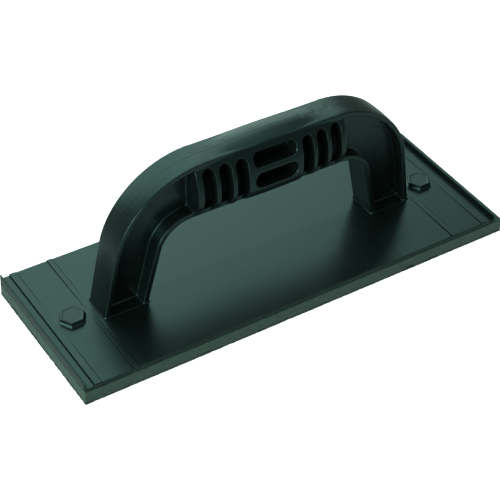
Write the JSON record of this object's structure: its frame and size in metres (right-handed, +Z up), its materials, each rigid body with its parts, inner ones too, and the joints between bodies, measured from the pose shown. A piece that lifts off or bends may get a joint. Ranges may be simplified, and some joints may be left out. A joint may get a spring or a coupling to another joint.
{
  "type": "sanding block",
  "caption": "Hand sanding block with a D-shaped moulded handle, flat base plate, rubber sole, abrasive layer and two hexagon bolts.",
  "frame": {"origin": "on the abrasive face, under the middle of the base plate", "axes": "+X along the block, +Y across it, +Z up through the handle"},
  "size_m": [0.2454, 0.087, 0.0855],
  "materials": {
    "black_plastic": "semi-gloss moulded",
    "black_bolt": "satin black",
    "zinc_steel": "zinc plated",
    "sheet_metal": "mill finish",
    "sole_rubber": "rough cut foam rubber",
    "abrasive": "gritty"
  },
  "bodies": {
    "root": {"handle": "black_plastic", "base_plate": "black_plastic", "left_hex_bolt": "black_bolt", "right_hex_bolt": "black_bolt", "left_sole_nut": "zinc_steel", "right_sole_nut": "zinc_steel", "backing_sheet": "sheet_metal", "rubber_pad": "sole_rubber", "abrasive_sheet": "abrasive"}
  },
  "joints": []
}
